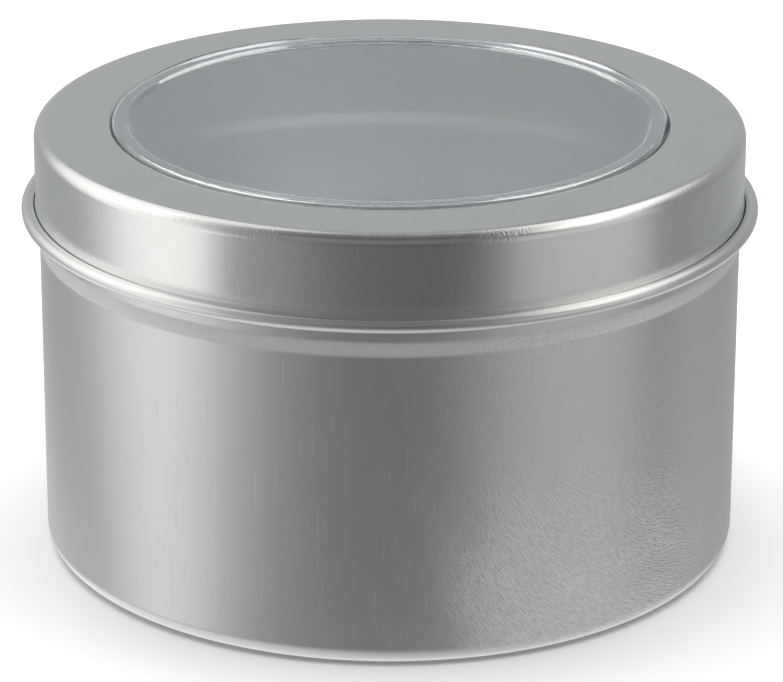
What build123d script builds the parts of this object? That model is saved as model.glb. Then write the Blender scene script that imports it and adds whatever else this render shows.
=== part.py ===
from build123d import *
import math
import os

# Driving dimensions, in millimetres. Z = 0 is the surface that the tin stands on, and Z is its axis.
# A bend is the radius on the hollow side of the bent sheet.

# Sheet
tinplate_thickness = 0.25
window_thickness = 0.30

# Tin
tin_radius = 42.40
tin_height = 52.55
tin_corner_bend = 1.95
base_foot_width = 1.80
base_recess_depth = 0.80
base_recess_slope_width = 0.90
base_recess_bend = 0.30
neck_step = 0.15
shoulder_height = 1.60
shoulder_bend = 0.40
mouth_curl_diameter = 1.70
mouth_curl_angle = 300

# Lid
lid_height = 11.20
lid_clearance = 0.30
lid_seat_gap = 0.10
lid_rim_width = 9.25
lid_corner_bend = 1.25
lid_curl_diameter = 1.70
lid_flare_angle = 12.5
lid_flare_bend = 1.20
lid_curl_mouth_angle = 135
neck_showing = 1.75
opening_edge_depth = 1.00
opening_edge_bend = 0.25

# Window pane
pane_clearance = 0.10
pane_rib_width = 2.35
pane_rib_height = 0.35
pane_rib_slope_width = 0.50
pane_bend = 0.20

# Ring that holds the pane from below
ring_bond_gap = 0.05
ring_mouth_clearance = 0.90
ring_inner_setback = 0.60
ring_bond_width = 1.30
ring_step_width = 0.60
ring_bend = 0.20
ring_flange_clearance = 0.25

# Levels and radii that follow from them
neck_radius = tin_radius - neck_step
skirt_radius = neck_radius + lid_clearance + tinplate_thickness
panel_underside = tin_height + lid_seat_gap
panel_top = panel_underside + tinplate_thickness
lid_bottom = panel_top - lid_height
shoulder_top = lid_bottom - neck_showing
opening_radius = skirt_radius - lid_rim_width
opening_edge_bottom = panel_top - opening_edge_depth
flange_top = opening_edge_bottom - pane_clearance
ring_radius = neck_radius - mouth_curl_diameter - ring_mouth_clearance
ring_step_radius = ring_radius - ring_bond_width - ring_step_width
flange_radius = ring_step_radius - ring_flange_clearance

# Side of a profile, walked away from the axis, that its sheet lies on
LEFT = 1
RIGHT = -1


def bent_profile(corners, bends, thickness, side):
    """Profile of radius and height with its corners bent, for a sheet that lies on one side of it."""
    points = [Vector(*corner) for corner in corners]
    radii = []
    for before, corner, after, bend in zip(points, points[1:], points[2:], bends):
        turns_left = (corner - before).cross(after - corner).Z > 0
        sheet_is_hollow_side = turns_left == (side == LEFT)
        radii.append(bend + thickness if sheet_is_hollow_side else bend)
    return FilletPolyline(*points, radius=radii)


def with_curl(profile, radius, angle):
    """A profile that goes on into a curl of this radius, turning left through this angle."""
    return profile + JernArc(profile @ 1, profile % 1, radius, angle)


def beside(edge, distance):
    """Line or arc that runs along another at a distance, on its left where that is positive."""
    start, middle, end = [edge @ t + (edge % t).rotate(Axis.Z, 90) * distance for t in (0, 0.5, 1)]
    return Line(start, end) if edge.geom_type == GeomType.LINE else ThreePointArc(start, middle, end)


def turned_sheet(profile, thickness, side):
    """Sheet of even thickness on one side of a profile of radius and height, turned round Z."""
    near = profile.edges()
    far = [beside(edge, side * thickness) for edge in near]
    ends = [Line(near[0] @ 0, far[0] @ 0), Line(near[-1] @ 1, far[-1] @ 1)]
    section = Plane.XZ * make_face([*near, *far, *ends])
    return revolve(section, Axis.Z)


def make_tin_body():
    """Drawn cup: recessed base, round corner, wall, small shoulder, neck and inward curl."""
    foot_outer = tin_radius - tin_corner_bend - tinplate_thickness
    foot_inner = foot_outer - base_foot_width
    recess_radius = foot_inner - base_recess_slope_width
    curl_radius = mouth_curl_diameter / 2
    corners = [
        (0, base_recess_depth),
        (recess_radius, base_recess_depth),
        (foot_inner, 0),
        (tin_radius, 0),
        (tin_radius, shoulder_top - shoulder_height),
        (neck_radius, shoulder_top),
        (neck_radius, tin_height - curl_radius),
    ]
    bends = [base_recess_bend, base_recess_bend, tin_corner_bend, shoulder_bend, shoulder_bend]
    outer_face = bent_profile(corners, bends, tinplate_thickness, LEFT)
    return turned_sheet(with_curl(outer_face, curl_radius, mouth_curl_angle), tinplate_thickness, LEFT)


def make_lid_shell():
    """Pressed lid: turned-down window edge, flat rim, round corner, skirt, flare and outward curl."""
    curl_radius = lid_curl_diameter / 2
    curl_hollow = curl_radius - tinplate_thickness
    flare = math.radians(lid_flare_angle)
    flare_end_radius = skirt_radius + curl_radius - curl_hollow * math.cos(flare)
    flare_end_height = lid_bottom + curl_radius - curl_hollow * math.sin(flare)
    flare_height = (flare_end_radius - skirt_radius) / math.tan(flare)
    corners = [
        (opening_radius, opening_edge_bottom),
        (opening_radius, panel_top),
        (skirt_radius, panel_top),
        (skirt_radius, flare_end_height + flare_height),
        (flare_end_radius, flare_end_height),
    ]
    bends = [opening_edge_bend, lid_corner_bend, lid_flare_bend]
    outer_face = bent_profile(corners, bends, tinplate_thickness, RIGHT)
    curl_turn = 180 + lid_curl_mouth_angle - lid_flare_angle
    return turned_sheet(with_curl(outer_face, curl_hollow, curl_turn), tinplate_thickness, RIGHT)


def make_window_pane():
    """Formed clear sheet: flat middle, raised rib, wall through the opening and hidden flange."""
    rib_outer = opening_radius - pane_clearance
    rib_inner = rib_outer - pane_rib_width
    rib_top = panel_top + pane_rib_height
    corners = [
        (0, panel_top),
        (rib_inner, panel_top),
        (rib_inner + pane_rib_slope_width, rib_top),
        (rib_outer, rib_top),
        (rib_outer, flange_top),
        (flange_radius, flange_top),
    ]
    upper_face = bent_profile(corners, [pane_bend] * (len(corners) - 2), window_thickness, RIGHT)
    return turned_sheet(upper_face, window_thickness, RIGHT)


def make_retaining_ring():
    """Stepped ring: bonded under the rim outside, and clamping the pane's flange inside."""
    lower_level = flange_top - window_thickness - ring_bond_gap
    upper_level = panel_underside - ring_bond_gap
    corners = [
        (opening_radius + ring_inner_setback, lower_level),
        (ring_step_radius, lower_level),
        (ring_step_radius + ring_step_width, upper_level),
        (ring_radius, upper_level),
    ]
    upper_face = bent_profile(corners, [ring_bend] * (len(corners) - 2), tinplate_thickness, RIGHT)
    return turned_sheet(upper_face, tinplate_thickness, RIGHT)


parts = {
    "tin_body": make_tin_body(),
    "lid_shell": make_lid_shell(),
    "window_pane": make_window_pane(),
    "window_retaining_ring": make_retaining_ring(),
}

os.makedirs("parts", exist_ok=True)
for name, shape in parts.items():
    export_step(shape, f"parts/{name}.step")
    print(name, "volume", round(shape.volume, 1), "solids", len(shape.solids()))
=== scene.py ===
# Window lid tin. Sizes are in metres, and Z is the tin's axis.
import math

import bpy
from mathutils import Matrix, Vector


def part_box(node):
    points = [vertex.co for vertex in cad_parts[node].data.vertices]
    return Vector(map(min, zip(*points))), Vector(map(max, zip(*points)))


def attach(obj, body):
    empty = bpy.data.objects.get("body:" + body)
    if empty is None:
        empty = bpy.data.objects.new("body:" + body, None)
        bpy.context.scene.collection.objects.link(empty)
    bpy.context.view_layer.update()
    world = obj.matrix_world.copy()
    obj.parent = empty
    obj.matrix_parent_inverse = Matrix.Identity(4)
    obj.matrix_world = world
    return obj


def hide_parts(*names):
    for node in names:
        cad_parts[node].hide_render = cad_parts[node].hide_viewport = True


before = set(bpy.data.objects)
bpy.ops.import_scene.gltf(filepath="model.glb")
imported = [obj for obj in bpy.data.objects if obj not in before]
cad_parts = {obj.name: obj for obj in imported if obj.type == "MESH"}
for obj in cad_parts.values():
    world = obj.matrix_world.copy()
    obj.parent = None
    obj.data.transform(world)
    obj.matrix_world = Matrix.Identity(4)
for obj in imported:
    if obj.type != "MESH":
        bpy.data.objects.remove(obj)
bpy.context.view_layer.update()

MM = 0.001

# Sizes read from the frame
tin_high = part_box("tin_body")[1]
lid_low, lid_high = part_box("lid_shell")
pane_low, pane_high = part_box("window_pane")
ring_low, ring_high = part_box("window_retaining_ring")
tin_radius = tin_high.x
tin_height = tin_high.z
bead_radius = lid_high.x
lid_top = lid_high.z
lid_bottom = lid_low.z
rib_top = pane_high.z
flange_radius = pane_high.x
flange_bottom = pane_low.z
ring_radius = ring_high.x
ring_bottom = ring_low.z
ring_top = ring_high.z

# Sheet thickness
tinplate = 0.25 * MM
clear_sheet = 0.30 * MM

# Tin. A bend is the radius on the hollow side of the sheet.
tin_corner_bend = 1.95 * MM
foot_width = 1.80 * MM
recess_depth = 0.80 * MM
recess_slope = 0.90 * MM
recess_bend = 0.30 * MM
neck_step = 0.15 * MM
neck_showing = 1.75 * MM
shoulder_height = 1.60 * MM
shoulder_bend = 0.40 * MM
mouth_curl_radius = 0.85 * MM
mouth_curl_turn = math.radians(300)

# Lid
skirt_radius = bead_radius - 1.70 * MM
rim_width = 9.25 * MM
lid_corner_bend = 1.25 * MM
lid_curl_radius = 0.85 * MM
lid_flare = math.radians(12.5)
lid_flare_bend = 1.20 * MM
lid_curl_turn = math.radians(315) - lid_flare
opening_edge_depth = 1.00 * MM
opening_edge_bend = 0.25 * MM

# Window pane and the ring below it
pane_clearance = 0.10 * MM
rib_width = 2.35 * MM
rib_slope = 0.50 * MM
pane_bend = 0.20 * MM
ring_inner_setback = 0.60 * MM
ring_bond_width = 1.30 * MM
ring_step_width = 0.60 * MM
ring_bend = 0.20 * MM

# Levels and radii that follow from them
neck_radius = tin_radius - neck_step
shoulder_top = lid_bottom - neck_showing
shoulder_bottom = shoulder_top - shoulder_height
opening_radius = skirt_radius - rim_width
rib_outer = opening_radius - pane_clearance

# How closely a section is divided. A straight run has a short part at each end, to keep it flat.
ARC_STEP = math.radians(6)
RUN_STEP = 2.0 * MM
FEWEST_RUNS = 3
END_PART = 0.06 * MM
TURN_STEPS = 300
WELD_DISTANCE = 0.002 * MM
NEAR_AXIS = 0.01 * MM

# Photograph's camera. Its sizes are in pixels of the photograph and in millimetres of the sensor.
IMAGE_WIDTH = 783
FOCAL_PIXELS = 4170.93
SENSOR_WIDTH = 36
camera_distance = 511.936 * MM
camera_elevation = math.radians(20.9129)
camera_target_height = 24.1136 * MM
camera_yaw = math.radians(0.03)
camera_roll = math.radians(0.152)
NEAREST_SEEN = 0.01
FARTHEST_SEEN = 20


def make_camera():
    """Camera at the photograph's viewing angle."""
    data = bpy.data.cameras.new("photo_camera")
    data.sensor_width = SENSOR_WIDTH
    data.lens = FOCAL_PIXELS / IMAGE_WIDTH * SENSOR_WIDTH
    data.clip_start = NEAREST_SEEN
    data.clip_end = FARTHEST_SEEN
    camera = bpy.data.objects.new("photo_camera", data)
    back = camera_distance * math.cos(camera_elevation)
    up = camera_target_height + camera_distance * math.sin(camera_elevation)
    place = Matrix.Translation((0, -back, up))
    turn = Matrix.Rotation(-camera_yaw, 4, "Z")
    tilt = Matrix.Rotation(math.pi / 2 - camera_elevation, 4, "X")
    roll = Matrix.Rotation(camera_roll, 4, "Z")
    camera.matrix_world = place @ turn @ tilt @ roll
    bpy.context.scene.collection.objects.link(camera)
    bpy.context.scene.camera = camera


# Node helpers


def add_node(tree, kind, **settings):
    """New node with these settings."""
    node = tree.nodes.new(kind)
    for name, value in settings.items():
        setattr(node, name, value)
    return node


def feed(tree, socket, value):
    """Links an output to a socket, or sets the socket to a plain value."""
    if isinstance(value, bpy.types.NodeSocket):
        tree.links.new(value, socket)
    else:
        socket.default_value = value


def calc(tree, operation, *values):
    """Output of a Math node."""
    node = add_node(tree, "ShaderNodeMath", operation=operation)
    for socket, value in zip(node.inputs, values):
        feed(tree, socket, value)
    return node.outputs[0]


def vector_calc(tree, operation, *values):
    """Output of a Vector Math node."""
    node = add_node(tree, "ShaderNodeVectorMath", operation=operation)
    for socket, value in zip(node.inputs, values):
        feed(tree, socket, value)
    return node.outputs["Value" if operation in ("DOT_PRODUCT", "LENGTH") else "Vector"]


def join_xyz(tree, x, y, z):
    """Vector of three numbers."""
    node = add_node(tree, "ShaderNodeCombineXYZ")
    for socket, value in zip(node.inputs, (x, y, z)):
        feed(tree, socket, value)
    return node.outputs[0]


def split_xyz(tree, vector):
    """Three numbers of a vector."""
    node = add_node(tree, "ShaderNodeSeparateXYZ")
    feed(tree, node.inputs[0], vector)
    return node.outputs


def ramp(tree, value, low, high, out_low=0.0, out_high=1.0, smooth=True):
    """Value stretched from one range to another, with soft or plain ends."""
    node = add_node(tree, "ShaderNodeMapRange")
    node.interpolation_type = "SMOOTHSTEP" if smooth else "LINEAR"
    for socket, part in zip(node.inputs, (value, low, high, out_low, out_high)):
        feed(tree, socket, part)
    return node.outputs[0]


def noise(tree, vector, detail=2.0, roughness=0.5):
    """Noise of scale 1 at a vector, from 0 to 1."""
    node = add_node(tree, "ShaderNodeTexNoise")
    node.inputs["Scale"].default_value = 1.0
    node.inputs["Detail"].default_value = detail
    node.inputs["Roughness"].default_value = roughness
    feed(tree, node.inputs["Vector"], vector)
    return node.outputs[0]


def group_sockets(tree, inputs, outputs):
    """Gives a node group its named inputs and outputs, and returns its two end nodes."""
    for name, (kind, value) in inputs.items():
        socket = tree.interface.new_socket(name, in_out="INPUT", socket_type=kind)
        if value is not None:
            socket.default_value = value
    for name, kind in outputs.items():
        tree.interface.new_socket(name, in_out="OUTPUT", socket_type=kind)
    start = tree.nodes.new("NodeGroupInput")
    end = tree.nodes.new("NodeGroupOutput")
    return start.outputs, end.inputs


FLOAT = "NodeSocketFloat"
VECTOR = "NodeSocketVector"
GEOMETRY = "NodeSocketGeometry"
INTEGER = "NodeSocketInt"
MATERIAL = "NodeSocketMaterial"


def use_group(tree, group, **values):
    """Places a node group with these inputs, named with _ for a space, and returns its outputs."""
    node = add_node(tree, "ShaderNodeGroup", node_tree=group)
    for name, value in values.items():
        feed(tree, node.inputs[name.replace("_", " ")], value)
    return node.outputs


# Studio: what the metal reflects lies all round as soft boxes, a base light and a bright table

# Colour of the table and of the surroundings
PALE = (0.93, 0.93, 0.93, 1)

# Soft boxes and dark boards: azimuth, elevation and roll in degrees, half width, half height,
# softness and level. Azimuth 0 is towards the camera, and a dark board has a level below 0.
SOFT_BOXES = (
    ((-99, 23, 39.5), 0.58, 1.66, 0.50, 0.74),
    ((97, 48, 26), 0.70, 0.29, 0.42, 1.18),
    ((63, -1, 0), 0.50, 0.42, 0.42, 0.43),
    ((-104, 37, 39.5), 0.16, 0.44, 0.24, 0.6),
    ((84, 44, 26), 0.26, 0.14, 0.20, 0.3),
)
DARK_BOARDS = (
    ((0, -14, 0), 0.45, 0.60, 0.50, -0.08),
    ((0, 90, 0), 0.60, 0.80, 0.50, -0.12),
    ((124, -17, 0), 0.45, 0.35, 0.50, -0.03),
    ((-135, -15, 0), 0.40, 0.35, 0.50, -0.09),
)
BOX_TINT = (1.03, 1.0, 0.965)

# Base light and table, which grow brighter along their lean
BASE_LEVEL = 0.335
BASE_LEAN = (-0.085, 0.14, -0.05)
BASE_TINT = (0.985, 1.0, 1.01)
TABLE_LEVEL = 0.62
TABLE_LEAN = (-0.23, 0.40, -0.14)
TABLE_TINT = (1.01, 1.0, 1.0)

# How far down a direction points where it begins to meet the table, and where it meets it fully
DOWNWARD = (0.0, 0.08, -1.0)
TABLE_BEGINS = 0.43
TABLE_IS_FULL = 0.62

# Table top, and the light above it that the metal does not mirror
TABLE_REACH = 4.0
TABLE_ROUGHNESS = 0.9
TABLE_SHINE = 0.1
OVERHEAD_SIZE = 1.6
OVERHEAD_POWER = 16.0
OVERHEAD_HEIGHT = 1.2

# Lamps that only the window catches: azimuth, elevation and roll in degrees, width, height, power
WINDOW_LAMPS = {
    "left_lamp": ((-112, 54, 0), 1.70, 0.52, 7.3),
    "right_lamp": ((106, 54, 0), 1.45, 0.52, 6.3),
    "top_lamp": ((0, 82, 0), 0.90, 0.26, 2.0),
}
LAMP_COLOUR = (1.0, 0.975, 0.925)


def make_softbox_group():
    """Light of a soft-edged box, seen in a direction."""
    group = bpy.data.node_groups.new("softbox", "ShaderNodeTree")
    inputs = {
        "Direction": (VECTOR, None),
        "Facing": (VECTOR, None),
        "Across": (VECTOR, None),
        "Upward": (VECTOR, None),
        "Half Width": (FLOAT, 0.5),
        "Half Height": (FLOAT, 0.5),
        "Softness": (FLOAT, 0.5),
        "Level": (FLOAT, 1.0),
    }
    start, end = group_sockets(group, inputs, {"Light": FLOAT})
    direction = start["Direction"]
    ahead = vector_calc(group, "DOT_PRODUCT", direction, start["Facing"])
    depth = calc(group, "MAXIMUM", ahead, 0.02)
    light = calc(group, "GREATER_THAN", ahead, 0.02)
    for way, half in (("Across", "Half Width"), ("Upward", "Half Height")):
        offset = vector_calc(group, "DOT_PRODUCT", direction, start[way])
        offset = calc(group, "ABSOLUTE", calc(group, "DIVIDE", offset, depth))
        inside = calc(group, "SUBTRACT", start[half], offset)
        edge = calc(group, "ADD", calc(group, "DIVIDE", inside, start["Softness"]), 0.5)
        light = calc(group, "MULTIPLY", light, ramp(group, edge, 0.0, 1.0))
    feed(group, end["Light"], calc(group, "MULTIPLY", light, start["Level"]))
    return group


def softbox_axes(azimuth, elevation, roll):
    """Directions of a soft box: the way to it, across it and up it. Azimuth 0 is towards the camera."""
    azimuth, elevation, roll = map(math.radians, (azimuth, elevation, roll))
    flat = math.cos(elevation)
    facing = Vector((flat * math.sin(azimuth), -flat * math.cos(azimuth), math.sin(elevation)))
    level = Vector((math.cos(azimuth), math.sin(azimuth), 0))
    upward = level.cross(facing)
    if upward.z < 0:
        upward = -upward
    across = math.cos(roll) * level + math.sin(roll) * upward
    return facing, across, math.cos(roll) * upward - math.sin(roll) * level


def tilted_level(tree, direction, level, lean):
    """Light level that changes evenly with direction."""
    change = vector_calc(tree, "DOT_PRODUCT", direction, lean)
    return calc(tree, "ADD", level, change)


def seen_box(tree, softbox, direction, angles, half_width, half_height, softness, level):
    """Light of one soft box or dark board, turned to these angles."""
    facing, across, upward = softbox_axes(*angles)
    box = use_group(
        tree,
        softbox,
        Direction=direction,
        Facing=facing,
        Across=across,
        Upward=upward,
        Half_Width=half_width,
        Half_Height=half_height,
        Softness=softness,
        Level=level,
    )
    return box["Light"]


def make_world():
    """Soft studio round the tin, and plain pale surroundings for the camera."""
    world = bpy.data.worlds.new("studio")
    bpy.context.scene.world = world
    world.use_nodes = True
    tree = world.node_tree
    tree.nodes.clear()
    softbox = make_softbox_group()
    place = add_node(tree, "ShaderNodeTexCoord")
    direction = vector_calc(tree, "NORMALIZE", place.outputs["Generated"])
    base = tilted_level(tree, direction, BASE_LEVEL, BASE_LEAN)
    boxes = 0.0
    for box in SOFT_BOXES:
        boxes = calc(tree, "ADD", boxes, seen_box(tree, softbox, direction, *box))
    for board in DARK_BOARDS:
        base = calc(tree, "ADD", base, seen_box(tree, softbox, direction, *board))
    down = tilted_level(tree, direction, 0.0, DOWNWARD)
    table = tilted_level(tree, direction, TABLE_LEVEL, TABLE_LEAN)
    below = ramp(tree, down, TABLE_BEGINS, TABLE_IS_FULL)
    above = calc(tree, "SUBTRACT", 1.0, below)
    parts = (
        (calc(tree, "MULTIPLY", base, above), BASE_TINT),
        (calc(tree, "MULTIPLY", boxes, above), BOX_TINT),
        (calc(tree, "MULTIPLY", table, below), TABLE_TINT),
    )
    colour = (0.0, 0.0, 0.0)
    for level, tint in parts:
        colour = vector_calc(tree, "MULTIPLY_ADD", join_xyz(tree, level, level, level), tint, colour)
    studio = add_node(tree, "ShaderNodeBackground")
    feed(tree, studio.inputs["Color"], colour)
    backdrop = add_node(tree, "ShaderNodeBackground")
    backdrop.inputs["Color"].default_value = PALE
    path = add_node(tree, "ShaderNodeLightPath")
    mix = add_node(tree, "ShaderNodeMixShader")
    feed(tree, mix.inputs[0], path.outputs["Is Camera Ray"])
    feed(tree, mix.inputs[1], studio.outputs[0])
    feed(tree, mix.inputs[2], backdrop.outputs[0])
    output = add_node(tree, "ShaderNodeOutputWorld")
    feed(tree, output.inputs["Surface"], mix.outputs[0])


def make_floor():
    """Plain pale table top, lit from above by a light that the metal does not mirror."""
    corners = [
        (-TABLE_REACH, -TABLE_REACH, 0),
        (TABLE_REACH, -TABLE_REACH, 0),
        (TABLE_REACH, TABLE_REACH, 0),
        (-TABLE_REACH, TABLE_REACH, 0),
    ]
    mesh = bpy.data.meshes.new("table_top")
    mesh.from_pydata(corners, [], [(0, 1, 2, 3)])
    material = bpy.data.materials.new("pale_table")
    material.use_nodes = True
    surface = material.node_tree.nodes["Principled BSDF"]
    surface.inputs["Base Color"].default_value = PALE
    surface.inputs["Roughness"].default_value = TABLE_ROUGHNESS
    surface.inputs["Specular IOR Level"].default_value = TABLE_SHINE
    mesh.materials.append(material)
    floor = bpy.data.objects.new("table_top", mesh)
    floor.visible_glossy = False
    bpy.context.scene.collection.objects.link(floor)
    data = bpy.data.lights.new("overhead_light", "AREA")
    data.shape = "DISK"
    data.size = OVERHEAD_SIZE
    data.energy = OVERHEAD_POWER
    light = bpy.data.objects.new("overhead_light", data)
    light.location = (0, 0, OVERHEAD_HEIGHT)
    light.visible_glossy = False
    light.visible_transmission = False
    bpy.context.scene.collection.objects.link(light)


def light_window(piece):
    """Lamps round the lid that light this clear piece alone, for the white lines along its rib."""
    catching = bpy.data.collections.new("window_lamp_catchers")
    catching.objects.link(piece)
    for name, (angles, width, height, power) in WINDOW_LAMPS.items():
        facing, across, upward = softbox_axes(*angles)
        data = bpy.data.lights.new(name, "AREA")
        data.shape = "RECTANGLE"
        data.size = width
        data.size_y = height
        data.energy = power
        data.color = LAMP_COLOUR
        lamp = bpy.data.objects.new(name, data)
        turn = Matrix((across, upward, across.cross(upward))).transposed().to_4x4()
        lamp.matrix_world = Matrix.Translation(facing + Vector((0, 0, lid_top))) @ turn
        lamp.light_linking.receiver_collection = catching
        bpy.context.scene.collection.objects.link(lamp)


# Sections of bent sheet, as points of radius and height


def left_of(way):
    """Direction a quarter turn to the left."""
    return Vector((-way.y, way.x))


def turned(way, angle):
    """Direction turned to the left by an angle."""
    return way * math.cos(angle) + left_of(way) * math.sin(angle)


def straight_run(start, end):
    """Points along a straight run with their direction, and a short part at each end."""
    along = end - start
    way = along.normalized()
    length = along.length
    places = [0.0, length]
    if length > 4 * END_PART:
        middle = length - 2 * END_PART
        parts = max(FEWEST_RUNS, math.ceil(middle / RUN_STEP))
        inner = [END_PART + middle * k / parts for k in range(parts + 1)]
        places = [0.0, *inner, length]
    return [(start + way * place, way) for place in places]


def arc_run(start, way, radius, turn):
    """Points along an arc that turns left by an angle, or right where it is negative."""
    side = math.copysign(radius, turn)
    centre = start + left_of(way) * side
    steps = max(2, math.ceil(abs(turn) / ARC_STEP))
    ways = [turned(way, turn * k / steps) for k in range(steps + 1)]
    return [(centre - left_of(each) * side, each) for each in ways]


LEFT = 1
RIGHT = -1


def bent_line(corners, bends, thickness, side):
    """Line through corners with bends, for a sheet that lies on one side of it."""
    corners = [Vector(corner) for corner in corners]
    line = []
    start = corners[0]
    for before, corner, after, bend in zip(corners, corners[1:], corners[2:], bends):
        arriving = (corner - before).normalized()
        leaving = (after - corner).normalized()
        turn = math.atan2(arriving.cross(leaving), arriving.dot(leaving))
        hollow_side = (turn > 0) == (side == LEFT)
        radius = bend + thickness if hollow_side else bend
        arc_start = corner - arriving * radius * math.tan(abs(turn) / 2)
        line += straight_run(start, arc_start)
        arc = arc_run(arc_start, arriving, radius, turn)
        line += arc[1:]
        start = arc[-1][0]
    line += straight_run(start, corners[-1])[1:]
    return line


def with_curl(line, radius, turn):
    """Line that goes on into a curl to the left."""
    point, way = line[-1]
    return line + arc_run(point, way, radius, turn)[1:]


def sheet_section(line, thickness, side):
    """Outline of a sheet on one side of a line, walked with the metal on its right."""
    near = [point for point, way in line]
    far = [point + left_of(way) * thickness * side for point, way in line]
    outline = near + far[::-1]
    return outline[::-1] if side == LEFT else outline


def tin_section():
    """Drawn cup: recessed base, round corner, wall, small shoulder, neck and inward curl."""
    foot_outer = tin_radius - tin_corner_bend - tinplate
    foot_inner = foot_outer - foot_width
    corners = [
        (0, recess_depth),
        (foot_inner - recess_slope, recess_depth),
        (foot_inner, 0),
        (tin_radius, 0),
        (tin_radius, shoulder_bottom),
        (neck_radius, shoulder_top),
        (neck_radius, tin_height - mouth_curl_radius),
    ]
    bends = [recess_bend, recess_bend, tin_corner_bend, shoulder_bend, shoulder_bend]
    line = bent_line(corners, bends, tinplate, LEFT)
    return sheet_section(with_curl(line, mouth_curl_radius, mouth_curl_turn), tinplate, LEFT)


def lid_section():
    """Pressed lid: turned-down window edge, flat rim, round corner, skirt, flare and outward curl."""
    hollow = lid_curl_radius - tinplate
    flare_end_radius = skirt_radius + lid_curl_radius - hollow * math.cos(lid_flare)
    flare_end_height = lid_bottom + lid_curl_radius - hollow * math.sin(lid_flare)
    flare_height = (flare_end_radius - skirt_radius) / math.tan(lid_flare)
    corners = [
        (opening_radius, lid_top - opening_edge_depth),
        (opening_radius, lid_top),
        (skirt_radius, lid_top),
        (skirt_radius, flare_end_height + flare_height),
        (flare_end_radius, flare_end_height),
    ]
    bends = [opening_edge_bend, lid_corner_bend, lid_flare_bend]
    line = bent_line(corners, bends, tinplate, RIGHT)
    return sheet_section(with_curl(line, hollow, lid_curl_turn), tinplate, RIGHT)


def pane_section():
    """Formed clear sheet: flat middle, raised rib, wall through the opening and hidden flange."""
    rib_inner = rib_outer - rib_width
    flange_top = flange_bottom + clear_sheet
    corners = [
        (0, lid_top),
        (rib_inner, lid_top),
        (rib_inner + rib_slope, rib_top),
        (rib_outer, rib_top),
        (rib_outer, flange_top),
        (flange_radius, flange_top),
    ]
    line = bent_line(corners, [pane_bend] * 4, clear_sheet, RIGHT)
    return sheet_section(line, clear_sheet, RIGHT)


def ring_section():
    """Stepped ring: bonded under the rim outside, and clamping the pane's flange inside."""
    lower = ring_bottom + tinplate
    step_radius = ring_radius - ring_bond_width - ring_step_width
    corners = [
        (opening_radius + ring_inner_setback, lower),
        (step_radius, lower),
        (step_radius + ring_step_width, ring_top),
        (ring_radius, ring_top),
    ]
    line = bent_line(corners, [ring_bend] * 2, tinplate, RIGHT)
    return sheet_section(line, tinplate, RIGHT)


# Turning a section into a closed sheet

# How quickly the ripple changes upwards, against its change round the sheet
UPRIGHT_CHANGE = 0.35

# Depth below the warp's place at which the sheet stays where it is
WARP_DEPTH = 0.6 * MM


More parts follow.
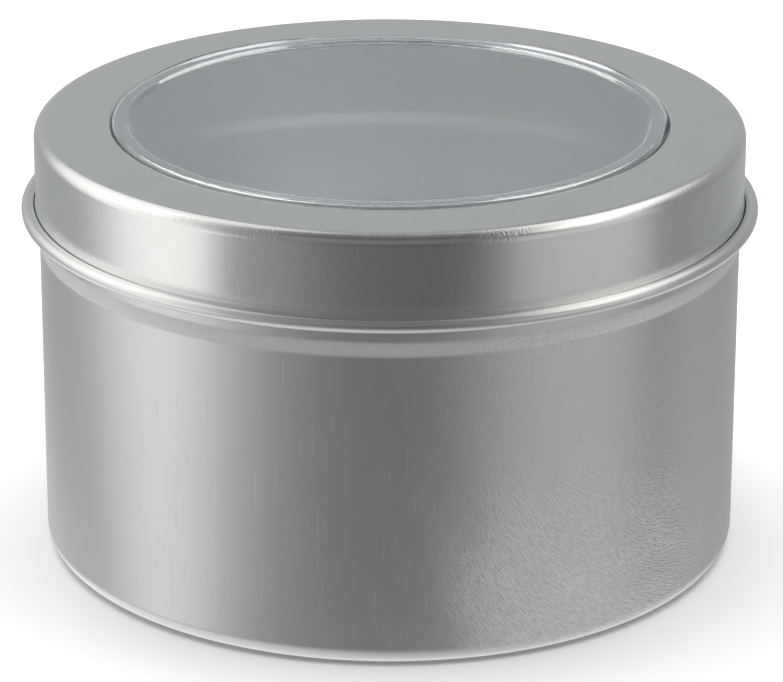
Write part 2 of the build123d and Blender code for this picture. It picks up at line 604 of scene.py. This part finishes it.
def make_turning_tree():
    """Geometry Nodes that turn a section round Z, ripple, dent and lift its sheet, and shade it."""
    tree = bpy.data.node_groups.new("turned_sheet", "GeometryNodeTree")
    inputs = {
        "Section": (GEOMETRY, None),
        "Turning Radius": (FLOAT, 1.0),
        "Turn Steps": (INTEGER, 300),
        "Ripple Depth": (FLOAT, 0.0),
        "Ripple Width": (FLOAT, 0.01),
        "Ripple Seed": (FLOAT, 0.0),
        "Kink Place": (VECTOR, None),
        "Kink Reach": (FLOAT, 0.005),
        "Kink Depth": (FLOAT, 0.0),
        "Warp Middle": (FLOAT, 0.0),
        "Warp Place": (VECTOR, None),
        "Warp Reach": (FLOAT, 0.01),
        "Warp Height": (FLOAT, 0.0),
        "Warp Start": (FLOAT, 1.0),
        "Warp End": (FLOAT, 2.0),
        "Sharp Angle": (FLOAT, math.radians(38)),
        "Material": (MATERIAL, None),
        "Edge Radius": (FLOAT, 1.0),
        "Edge Material": (MATERIAL, None),
    }
    start, end = group_sockets(tree, inputs, {"Sheet": GEOMETRY})
    upright = add_node(tree, "GeometryNodeTransform")
    shift = calc(tree, "MULTIPLY", start["Turning Radius"], -1.0)
    feed(tree, upright.inputs["Geometry"], start["Section"])
    feed(tree, upright.inputs["Translation"], join_xyz(tree, shift, 0.0, 0.0))
    upright.inputs["Rotation"].default_value = (math.pi / 2, 0, 0)
    profile = add_node(tree, "GeometryNodeMeshToCurve")
    feed(tree, profile.inputs["Mesh"], upright.outputs["Geometry"])
    circle = add_node(tree, "GeometryNodeCurvePrimitiveCircle")
    feed(tree, circle.inputs["Resolution"], start["Turn Steps"])
    feed(tree, circle.inputs["Radius"], start["Turning Radius"])
    turned_mesh = add_node(tree, "GeometryNodeCurveToMesh")
    feed(tree, turned_mesh.inputs["Curve"], circle.outputs["Curve"])
    feed(tree, turned_mesh.inputs["Profile Curve"], profile.outputs["Curve"])
    welded = add_node(tree, "GeometryNodeMergeByDistance")
    welded.inputs["Distance"].default_value = WELD_DISTANCE
    feed(tree, welded.inputs["Geometry"], turned_mesh.outputs["Mesh"])
    place = add_node(tree, "GeometryNodeInputPosition").outputs[0]
    x, y, z = split_xyz(tree, place)
    outward = vector_calc(tree, "NORMALIZE", join_xyz(tree, x, y, 0.0))
    tall = calc(tree, "MULTIPLY", z, UPRIGHT_CHANGE)
    stretched = join_xyz(tree, x, y, calc(tree, "ADD", tall, start["Ripple Seed"]))
    wave_place = vector_calc(tree, "SCALE", stretched)
    scale = calc(tree, "DIVIDE", 1.0, start["Ripple Width"])
    feed(tree, wave_place.node.inputs["Scale"], scale)
    wave = noise(tree, wave_place, detail=1.0)
    distance = vector_calc(tree, "LENGTH", vector_calc(tree, "SUBTRACT", place, start["Kink Place"]))
    near = calc(tree, "DIVIDE", distance, start["Kink Reach"])
    kink = calc(tree, "MULTIPLY", ramp(tree, near, 0.2, 1.0, 1.0, 0.0), start["Kink Depth"])
    depth = calc(tree, "MULTIPLY_ADD", wave, start["Ripple Depth"], kink)
    inward = vector_calc(tree, "SCALE", outward)
    feed(tree, inward.node.inputs["Scale"], calc(tree, "MULTIPLY", depth, -1.0))
    radius = vector_calc(tree, "LENGTH", join_xyz(tree, x, y, 0.0))
    warp_place = start["Warp Place"]
    aside = calc(tree, "ABSOLUTE", calc(tree, "SUBTRACT", x, start["Warp Middle"]))
    both_sides = join_xyz(tree, aside, y, z)
    distance = vector_calc(tree, "LENGTH", vector_calc(tree, "SUBTRACT", both_sides, warp_place))
    warp = ramp(tree, calc(tree, "DIVIDE", distance, start["Warp Reach"]), 0.3, 1.0, 1.0, 0.0)
    rise = ramp(tree, radius, start["Warp Start"], start["Warp End"], smooth=False)
    above = calc(tree, "SUBTRACT", z, split_xyz(tree, warp_place)[2])
    free = ramp(tree, above, -WARP_DEPTH, 0.0)
    warp = calc(tree, "MULTIPLY", calc(tree, "MULTIPLY", warp, rise), free)
    lift = join_xyz(tree, 0.0, 0.0, calc(tree, "MULTIPLY", warp, start["Warp Height"]))
    rippled = add_node(tree, "GeometryNodeSetPosition")
    feed(tree, rippled.inputs["Geometry"], welded.outputs["Geometry"])
    feed(tree, rippled.inputs["Offset"], vector_calc(tree, "ADD", inward, lift))
    smooth = add_node(tree, "GeometryNodeSetShadeSmooth", domain="FACE")
    feed(tree, smooth.inputs["Geometry"], rippled.outputs["Geometry"])
    angle = add_node(tree, "GeometryNodeInputMeshEdgeAngle")
    is_sharp = add_node(tree, "FunctionNodeCompare", data_type="FLOAT", operation="GREATER_THAN")
    feed(tree, is_sharp.inputs[0], angle.outputs["Unsigned Angle"])
    feed(tree, is_sharp.inputs[1], start["Sharp Angle"])
    sharp = add_node(tree, "GeometryNodeSetShadeSmooth", domain="EDGE")
    sharp.inputs["Shade Smooth"].default_value = False
    feed(tree, sharp.inputs["Geometry"], smooth.outputs["Geometry"])
    feed(tree, sharp.inputs["Selection"], is_sharp.outputs[0])
    real = add_node(tree, "GeometryNodeRealizeInstances")
    feed(tree, real.inputs["Geometry"], sharp.outputs["Geometry"])
    coated = add_node(tree, "GeometryNodeSetMaterial")
    feed(tree, coated.inputs["Geometry"], real.outputs["Geometry"])
    feed(tree, coated.inputs["Material"], start["Material"])
    edged = add_node(tree, "GeometryNodeSetMaterial")
    feed(tree, edged.inputs["Geometry"], coated.outputs["Geometry"])
    feed(tree, edged.inputs["Selection"], calc(tree, "GREATER_THAN", radius, start["Edge Radius"]))
    feed(tree, edged.inputs["Material"], start["Edge Material"])
    feed(tree, end["Sheet"], edged.outputs["Geometry"])
    return tree


def section_mesh(name, outline):
    """Section as a mesh of edges. One that does not reach the axis is a closed loop."""
    count = len(outline)
    reaches_axis = outline[0].x < NEAR_AXIS and outline[-1].x < NEAR_AXIS
    edges = [(k, k + 1) for k in range(count - 1)]
    if not reaches_axis:
        edges.append((count - 1, 0))
    mesh = bpy.data.meshes.new(name)
    mesh.from_pydata([(point.x, 0, point.y) for point in outline], edges, [])
    return mesh


def rim_place(radius, azimuth):
    """Place at the level of the lid's top, turned from the front by an azimuth."""
    return (radius * math.sin(azimuth), -radius * math.cos(azimuth), lid_top)


def turned_piece(name, outline, tree, material, **sizes):
    """Object of a section turned round Z, as a plain mesh in its place."""
    section = section_mesh(name + "_section", outline)
    piece = bpy.data.objects.new(name, section)
    bpy.context.scene.collection.objects.link(piece)
    modifier = piece.modifiers.new("turning", "NODES")
    modifier.node_group = tree
    names = {item.name: item.identifier for item in tree.interface.items_tree}
    sizes["Turning_Radius"] = tin_radius
    sizes["Turn_Steps"] = TURN_STEPS
    sizes["Material"] = material
    sizes.setdefault("Edge_Material", material)
    for size, value in sizes.items():
        modifier[names[size.replace("_", " ")]] = value
    depsgraph = bpy.context.evaluated_depsgraph_get()
    mesh = bpy.data.meshes.new_from_object(piece.evaluated_get(depsgraph))
    piece.modifiers.clear()
    piece.data = mesh
    mesh.name = name
    bpy.data.meshes.remove(section)
    return piece


# Surface effects shared by the materials

# Patches of stronger and weaker grain
PATCH_LENGTH = 12 * MM
PATCH_WIDTH = 5 * MM

# Where the grain and the glints painted along its streaks show best, round from the front
GRAIN_AND_GLINT_AZIMUTH = math.radians(35)

# How soon a scratch reaches its full strength
SCRATCH_EDGE = 0.06

# Tinplate between its rolling lines, lighter tinplate on them that also paints their glints, and the
# plastic's specks
DARK_TINPLATE = (0.765, 0.785, 0.775)
STREAK_AND_GLINT_TINPLATE = (0.98, 1.0, 0.99)
SPECK_COLOUR = (0.80, 0.80, 0.78)
STREAK_DULLNESS = 0.03
WORKED_BAND_PALENESS = 0.32
PLASTIC_ROUGHNESS = 0.03
PLASTIC_IOR = 1.57


def make_blank_group():
    """Place on the flat blank that the sheet was drawn from, turned to the way it was rolled."""
    group = bpy.data.node_groups.new("blank_place", "ShaderNodeTree")
    inputs = {
        "Flat Height": (FLOAT, 0.0),
        "Free Depth": (FLOAT, 0.001),
        "Drawn Radius": (FLOAT, 0.042),
        "Rolling Angle": (FLOAT, 0.0),
    }
    start, end = group_sockets(group, inputs, {"Place": VECTOR})
    coordinates = add_node(group, "ShaderNodeTexCoord")
    x, y, z = split_xyz(group, coordinates.outputs["Object"])
    squared = calc(group, "ADD", calc(group, "MULTIPLY", x, x), calc(group, "MULTIPLY", y, y))
    radius = calc(group, "MAXIMUM", calc(group, "SQRT", squared), NEAR_AXIS)
    height = calc(group, "ABSOLUTE", calc(group, "SUBTRACT", z, start["Flat Height"]))
    depth = calc(group, "MAXIMUM", calc(group, "SUBTRACT", height, start["Free Depth"]), 0.0)
    drawn = calc(group, "MULTIPLY", calc(group, "MULTIPLY", depth, 2.0), start["Drawn Radius"])
    spread = calc(group, "DIVIDE", calc(group, "SQRT", calc(group, "ADD", squared, drawn)), radius)
    flat = join_xyz(group, calc(group, "MULTIPLY", x, spread), calc(group, "MULTIPLY", y, spread), 0.0)
    turn = add_node(group, "ShaderNodeVectorRotate", rotation_type="Z_AXIS")
    feed(group, turn.inputs["Vector"], flat)
    feed(group, turn.inputs["Angle"], start["Rolling Angle"])
    feed(group, end["Place"], turn.outputs[0])
    return group


def make_grain_group():
    """Rolling lines: long thin streaks and finer ones between them."""
    group = bpy.data.node_groups.new("rolling_grain", "ShaderNodeTree")
    inputs = {
        "Place": (VECTOR, None),
        "Streak Length": (FLOAT, 0.003),
        "Streak Width": (FLOAT, 0.00015),
    }
    start, end = group_sockets(group, inputs, {"Streaks": FLOAT, "Fine Lines": FLOAT, "Patches": FLOAT})
    place = start["Place"]
    stroke = join_xyz(group, start["Streak Length"], start["Streak Width"], 1.0)
    streaks = noise(group, vector_calc(group, "DIVIDE", place, stroke), detail=2.0)
    fine_length = calc(group, "MULTIPLY", start["Streak Length"], 2.5)
    fine_width = calc(group, "MULTIPLY", start["Streak Width"], 0.5)
    fine_stroke = join_xyz(group, fine_length, fine_width, 1.0)
    moved = vector_calc(group, "ADD", place, (0.31, 0.17, 0.0))
    fine = noise(group, vector_calc(group, "DIVIDE", moved, fine_stroke), detail=1.0)
    patch_stroke = join_xyz(group, PATCH_LENGTH, PATCH_WIDTH, 1.0)
    patches = noise(group, vector_calc(group, "DIVIDE", moved, patch_stroke), detail=2.0)
    feed(group, end["Streaks"], ramp(group, streaks, 0.32, 0.68))
    feed(group, end["Fine Lines"], ramp(group, fine, 0.3, 0.7))
    feed(group, end["Patches"], ramp(group, patches, 0.35, 0.65))
    return group


def make_drawing_group():
    """Upright marks left where the sheet slid over the die, between two heights."""
    group = bpy.data.node_groups.new("drawing_marks", "ShaderNodeTree")
    inputs = {
        "Mark Width": (FLOAT, 0.0004),
        "Mark Length": (FLOAT, 0.02),
        "Low": (FLOAT, 0.0),
        "High": (FLOAT, 1.0),
        "Fade": (FLOAT, 0.001),
    }
    start, end = group_sockets(group, inputs, {"Marks": FLOAT, "Zone": FLOAT})
    coordinates = add_node(group, "ShaderNodeTexCoord").outputs["Object"]
    x, y, z = split_xyz(group, coordinates)
    stroke = join_xyz(group, start["Mark Width"], start["Mark Width"], start["Mark Length"])
    marks = noise(group, vector_calc(group, "DIVIDE", coordinates, stroke), detail=2.0)
    above = calc(group, "DIVIDE", calc(group, "SUBTRACT", z, start["Low"]), start["Fade"])
    below = calc(group, "DIVIDE", calc(group, "SUBTRACT", start["High"], z), start["Fade"])
    zone = calc(group, "MULTIPLY", ramp(group, above, -0.5, 0.5), ramp(group, below, -0.5, 0.5))
    feed(group, end["Marks"], ramp(group, marks, 0.3, 0.7))
    feed(group, end["Zone"], zone)
    return group


def make_handling_group():
    """Marks of handling: sparse fine scratches, small specks and broad faint smudges."""
    group = bpy.data.node_groups.new("handling_marks", "ShaderNodeTree")
    inputs = {
        "Scratch Length": (FLOAT, 0.006),
        "Scratch Width": (FLOAT, 0.0001),
        "Scratch Limit": (FLOAT, 0.72),
        "Speck Spacing": (FLOAT, 0.004),
        "Speck Size": (FLOAT, 0.0001),
        "Smudge Size": (FLOAT, 0.015),
    }
    outputs = {"Scratches": FLOAT, "Specks": FLOAT, "Smudges": FLOAT}
    start, end = group_sockets(group, inputs, outputs)
    coordinates = add_node(group, "ShaderNodeTexCoord").outputs["Object"]
    stroke = join_xyz(group, start["Scratch Length"], start["Scratch Width"], start["Scratch Length"])
    scratches = 0.0
    for angle, shift in ((0.5, 0.0), (-0.9, 0.4), (1.9, 0.8)):
        turn = add_node(group, "ShaderNodeVectorRotate", rotation_type="Z_AXIS")
        feed(group, turn.inputs["Vector"], coordinates)
        turn.inputs["Angle"].default_value = angle
        moved = vector_calc(group, "ADD", turn.outputs[0], (shift, shift, 0.0))
        line = noise(group, vector_calc(group, "DIVIDE", moved, stroke), detail=0.0)
        limit = start["Scratch Limit"]
        line = ramp(group, line, limit, calc(group, "ADD", limit, SCRATCH_EDGE))
        scratches = calc(group, "MAXIMUM", scratches, line)
    cells = add_node(group, "ShaderNodeTexVoronoi", feature="F1")
    feed(group, cells.inputs["Vector"], coordinates)
    feed(group, cells.inputs["Scale"], calc(group, "DIVIDE", 1.0, start["Speck Spacing"]))
    nearness = calc(group, "MULTIPLY", cells.outputs["Distance"], start["Speck Spacing"])
    size = calc(group, "MULTIPLY", start["Speck Size"], split_xyz(group, cells.outputs["Color"])[0])
    specks = calc(group, "LESS_THAN", nearness, size)
    small = calc(group, "DIVIDE", 1.0, start["Smudge Size"])
    wide = vector_calc(group, "SCALE", coordinates)
    feed(group, wide.node.inputs["Scale"], small)
    feed(group, end["Scratches"], scratches)
    feed(group, end["Specks"], specks)
    feed(group, end["Smudges"], ramp(group, noise(group, wide, detail=3.0), 0.35, 0.7))
    return group


def weighted(tree, *pairs):
    """Sum of values with their weights."""
    total = 0.0
    for value, weight in pairs:
        total = calc(tree, "MULTIPLY_ADD", value, weight, total)
    return total


# A Mix node's inputs 4 and 5 with output 1 are for vectors, and 6 and 7 with output 2 for colours


def blend_colour(tree, factor, first, second):
    """Colour between two, by a factor."""
    node = add_node(tree, "ShaderNodeMix", data_type="RGBA")
    feed(tree, node.inputs["Factor"], factor)
    feed(tree, node.inputs[6], (*first, 1))
    feed(tree, node.inputs[7], (*second, 1))
    return node.outputs[2]


def bump(tree, height, strength, distance):
    """Normal from a height."""
    node = add_node(tree, "ShaderNodeBump")
    node.inputs["Strength"].default_value = strength
    node.inputs["Distance"].default_value = distance
    feed(tree, node.inputs["Height"], height)
    return node.outputs["Normal"]


def across_lines(tree, place, rolled_way, upward, band):
    """Direction across the lines in the sheet: rolled ones, or round ones where it was worked."""
    x, y, z = split_xyz(tree, add_node(tree, "ShaderNodeTexCoord").outputs["Object"])
    flat = join_xyz(tree, x, y, 0.0)
    outward = vector_calc(tree, "NORMALIZE", flat)
    around = vector_calc(tree, "CROSS_PRODUCT", (0, 0, 1), outward)
    blank_radius = vector_calc(tree, "LENGTH", place)
    spread = calc(tree, "DIVIDE", blank_radius, vector_calc(tree, "LENGTH", flat))
    normal = add_node(tree, "ShaderNodeNewGeometry").outputs["Normal"]
    flatness = calc(tree, "ABSOLUTE", split_xyz(tree, normal)[2])
    flat_part = calc(tree, "MULTIPLY", flatness, flatness)
    steepness = calc(tree, "SQRT", calc(tree, "SUBTRACT", 1.0, flat_part))
    rise = join_xyz(tree, 0.0, 0.0, calc(tree, "MULTIPLY", steepness, upward))
    outward_part = join_xyz(tree, flatness, flatness, flatness)
    along = vector_calc(tree, "MULTIPLY_ADD", outward, outward_part, rise)
    away = calc(tree, "MULTIPLY", vector_calc(tree, "DOT_PRODUCT", outward, rolled_way), spread)
    aside = calc(tree, "DIVIDE", vector_calc(tree, "DOT_PRODUCT", around, rolled_way), spread)
    line = vector_calc(tree, "MULTIPLY", along, join_xyz(tree, away, away, away))
    line = vector_calc(tree, "MULTIPLY_ADD", around, join_xyz(tree, aside, aside, aside), line)
    across = vector_calc(tree, "NORMALIZE", vector_calc(tree, "CROSS_PRODUCT", normal, line))
    upright = vector_calc(tree, "CROSS_PRODUCT", normal, around)
    chosen = add_node(tree, "ShaderNodeMix", data_type="VECTOR")
    feed(tree, chosen.inputs["Factor"], calc(tree, "GREATER_THAN", band, 0.5))
    feed(tree, chosen.inputs[4], across)
    feed(tree, chosen.inputs[5], upright)
    return chosen.outputs[1]


def outer_side(tree):
    """1 on the outside of the tin's wall, and 0 inside it."""
    x, y, z = split_xyz(tree, add_node(tree, "ShaderNodeTexCoord").outputs["Object"])
    radius = vector_calc(tree, "LENGTH", join_xyz(tree, x, y, 0.0))
    return calc(tree, "GREATER_THAN", radius, neck_radius - 0.2 * tinplate)


def grain_and_painted_glint_strength(tree):
    """Strength of the grain outside, and of the glints painted on its streaks: clearest low on the
    wall, a little to the right of the front, where the light catches the streaks.
    """
    x, y, z = split_xyz(tree, add_node(tree, "ShaderNodeTexCoord").outputs["Object"])
    flat = join_xyz(tree, x, y, 0.0)
    facing = (math.sin(GRAIN_AND_GLINT_AZIMUTH), -math.cos(GRAIN_AND_GLINT_AZIMUTH), 0)
    towards = vector_calc(tree, "DOT_PRODUCT", vector_calc(tree, "NORMALIZE", flat), facing)
    side = ramp(tree, towards, 0.85, 0.99, 0.09, 1.0)
    low = ramp(tree, towards, 0.3, 0.9, 0.0, 0.25)
    low = calc(tree, "MULTIPLY", low, ramp(tree, z, 3 * MM, 14 * MM, 1.0, 0.0))
    side = calc(tree, "MULTIPLY", side, ramp(tree, z, 5 * MM, 27 * MM, 1.0, 0.2))
    strength = calc(tree, "MAXIMUM", side, low)
    return calc(tree, "MULTIPLY", outer_side(tree), strength)


def make_tinplate(
    name,
    groups,
    flat_height,
    upward,
    gloss,
    spread,
    marks,
    press_marks,
    rolled,
    streak_bump,
    scuffed,
    runs_round,
):
    """Satin tinplate: rolled grain that follows the drawn sheet, with glints painted along its streaks
    on the body, pressing marks and handling marks.
    """
    blank, grain, drawing, handling = groups
    material = bpy.data.materials.new(name)
    material.use_nodes = True
    tree = material.node_tree
    surface = tree.nodes["Principled BSDF"]
    place = use_group(
        tree,
        blank,
        Flat_Height=flat_height,
        Free_Depth=1.2 * MM,
        Drawn_Radius=tin_radius,
        Rolling_Angle=-rolled,
    )["Place"]
    lines = use_group(tree, grain, Place=place, Streak_Length=1.2 * MM, Streak_Width=0.18 * MM)
    low, high = marks
    pressed = use_group(
        tree,
        drawing,
        Mark_Width=0.26 * MM,
        Mark_Length=1.6 * MM,
        Low=low,
        High=high,
        Fade=0.5 * MM,
    )
    handled = use_group(tree, handling, Scratch_Limit=0.80)
    pressing = calc(tree, "MULTIPLY", pressed["Marks"], pressed["Zone"])
    pressing = calc(tree, "MULTIPLY", pressing, lines["Patches"])
    roughness = weighted(
        tree,
        (lines["Streaks"], STREAK_DULLNESS),
        (lines["Patches"], 0.006),
        (handled["Smudges"], 0.006),
        (handled["Scratches"], 0.02),
        (pressing, 0.02),
    )
    roughness = calc(tree, "ADD", roughness, gloss - STREAK_DULLNESS)
    band_low, band_high, band_dullness, band_fade = scuffed
    band = use_group(tree, drawing, Low=band_low, High=band_high, Fade=band_fade)["Zone"]
    if runs_round:
        band = calc(tree, "MULTIPLY", band, outer_side(tree))
    roughness = calc(tree, "MULTIPLY_ADD", band, band_dullness, roughness)
    worked = band if runs_round else 0.0
    feed(tree, surface.inputs["Roughness"], roughness)
    clusters = ramp(tree, lines["Patches"], 0.0, 1.0, 0.7, 1.0)
    grain_and_glint_showing = calc(tree, "MULTIPLY", clusters, grain_and_painted_glint_strength(tree) if runs_round else 0.2)
    # On the body the streaks' lighter colour is painted glints, strongest low on the wall right of the
    # front where light catches them; on the lid it is an even grain tone.
    shade = calc(tree, "MULTIPLY", lines["Streaks"], grain_and_glint_showing)
    shade = calc(tree, "MULTIPLY_ADD", lines["Patches"], 0.03, shade)
    colour = blend_colour(tree, shade, DARK_TINPLATE, STREAK_AND_GLINT_TINPLATE)
    feed(tree, surface.inputs["Base Color"], colour)
    metal = calc(tree, "MULTIPLY_ADD", worked, -WORKED_BAND_PALENESS, 1.0)
    feed(tree, surface.inputs["Metallic"], metal)
    surface.inputs["Anisotropic"].default_value = spread
    rolled_way = (math.cos(rolled), math.sin(rolled), 0)
    feed(tree, surface.inputs["Tangent"], across_lines(tree, place, rolled_way, upward, worked))
    streaks = calc(tree, "SUBTRACT", lines["Streaks"], 0.5)
    height = weighted(
        tree,
        (calc(tree, "MULTIPLY", streaks, grain_and_glint_showing), 1.0),
        (lines["Fine Lines"], 0.05),
        (pressing, press_marks),
        (handled["Scratches"], -0.15),
    )
    feed(tree, surface.inputs["Normal"], bump(tree, height, 1.0, streak_bump))
    return material


def make_plastic(name, handling, tint, clearness, shine):
    """Formed plastic with a few specks, fine scratches and a slight waviness."""
    material = bpy.data.materials.new(name)
    material.use_nodes = True
    tree = material.node_tree
    surface = tree.nodes["Principled BSDF"]
    handled = use_group(
        tree,
        handling,
        Scratch_Length=5 * MM,
        Scratch_Width=0.07 * MM,
        Scratch_Limit=0.80,
        Speck_Spacing=7 * MM,
        Speck_Size=0.22 * MM,
        Smudge_Size=22 * MM,
    )
    worn = weighted(
        tree,
        (handled["Scratches"], 0.20),
        (handled["Specks"], 0.45),
        (handled["Smudges"], 0.015),
    )
    feed(tree, surface.inputs["Roughness"], calc(tree, "ADD", worn, PLASTIC_ROUGHNESS))
    colour = blend_colour(tree, handled["Specks"], tint, SPECK_COLOUR)
    feed(tree, surface.inputs["Base Color"], colour)
    surface.inputs["Transmission Weight"].default_value = clearness
    surface.inputs["Metallic"].default_value = 0.0
    surface.inputs["IOR"].default_value = PLASTIC_IOR
    surface.inputs["Specular IOR Level"].default_value = shine
    height = weighted(tree, (handled["Smudges"], 1.0), (handled["Scratches"], -0.05))
    feed(tree, surface.inputs["Normal"], bump(tree, height, 0.05, 0.10 * MM))
    return material


# Making the scene

bpy.context.scene.view_settings.view_transform = "Standard"
bpy.context.scene.cycles.max_bounces = 24
bpy.context.scene.cycles.glossy_bounces = 14
make_camera()
make_world()
make_floor()

effects = (make_blank_group(), make_grain_group(), make_drawing_group(), make_handling_group())
turning = make_turning_tree()
body_metal = make_tinplate(
    "satin tinplate of the body",
    effects,
    flat_height=0.0,
    upward=1.0,
    gloss=0.33,
    spread=0.80,
    marks=(shoulder_top, tin_height),
    press_marks=0.0,
    rolled=math.radians(62),
    streak_bump=0.0420 * MM,
    scuffed=(shoulder_bottom, shoulder_top, 0.50, 0.45 * MM),
    runs_round=True,
)
lid_metal = make_tinplate(
    "satin tinplate of the lid",
    effects,
    flat_height=lid_top,
    upward=-1.0,
    gloss=0.22,
    spread=0.55,
    marks=(lid_top - 1.4 * MM, lid_top - 0.1 * MM),
    press_marks=3.0,
    rolled=math.radians(75),
    streak_bump=0.0040 * MM,
    scuffed=(lid_bottom, lid_bottom + 2.6 * MM, 0.10, 1.0 * MM),
    runs_round=False,
)
window_tint = (0.925, 0.953, 1.0)
clear_plastic = make_plastic("clear window plastic", effects[3], window_tint, 0.966, 0.5)
paled_plastic = make_plastic("paled window rib", effects[3], window_tint, 0.94, 1.0)

drawn_tin = turned_piece(
    "drawn_tin",
    tin_section(),
    turning,
    body_metal,
    Ripple_Depth=0.03 * MM,
    Ripple_Width=18 * MM,
)
pressed_lid = turned_piece(
    "pressed_lid",
    lid_section(),
    turning,
    lid_metal,
    Ripple_Depth=0.02 * MM,
    Ripple_Width=14 * MM,
    Ripple_Seed=3.0,
)
clear_window = turned_piece(
    "clear_window",
    pane_section(),
    turning,
    clear_plastic,
    Ripple_Depth=0.01 * MM,
    Ripple_Width=14 * MM,
    Ripple_Seed=5.0,
    Kink_Place=rim_place(rib_outer - rib_width / 2, math.radians(82)),
    Kink_Reach=5.5 * MM,
    Kink_Depth=0.28 * MM,
    Warp_Middle=2.0 * MM,
    Warp_Place=rim_place(rib_outer, math.radians(139)),
    Warp_Reach=17 * MM,
    Warp_Height=0.50 * MM,
    Warp_Start=rib_outer - 1.10 * MM,
    Warp_End=rib_outer,
    Edge_Radius=rib_outer - rib_width + 0.10 * MM,
    Edge_Material=paled_plastic,
)
window_ring = turned_piece("window_ring", ring_section(), turning, lid_metal)

light_window(clear_window)

for piece, body, node, slot in (
    (drawn_tin, "tin", "tin_body", "body_tinplate"),
    (pressed_lid, "lid", "lid_shell", "lid_tinplate"),
    (clear_window, "lid", "window_pane", "window_plastic"),
    (window_ring, "lid", "window_retaining_ring", "lid_tinplate"),
):
    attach(piece, body)
    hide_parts(node)
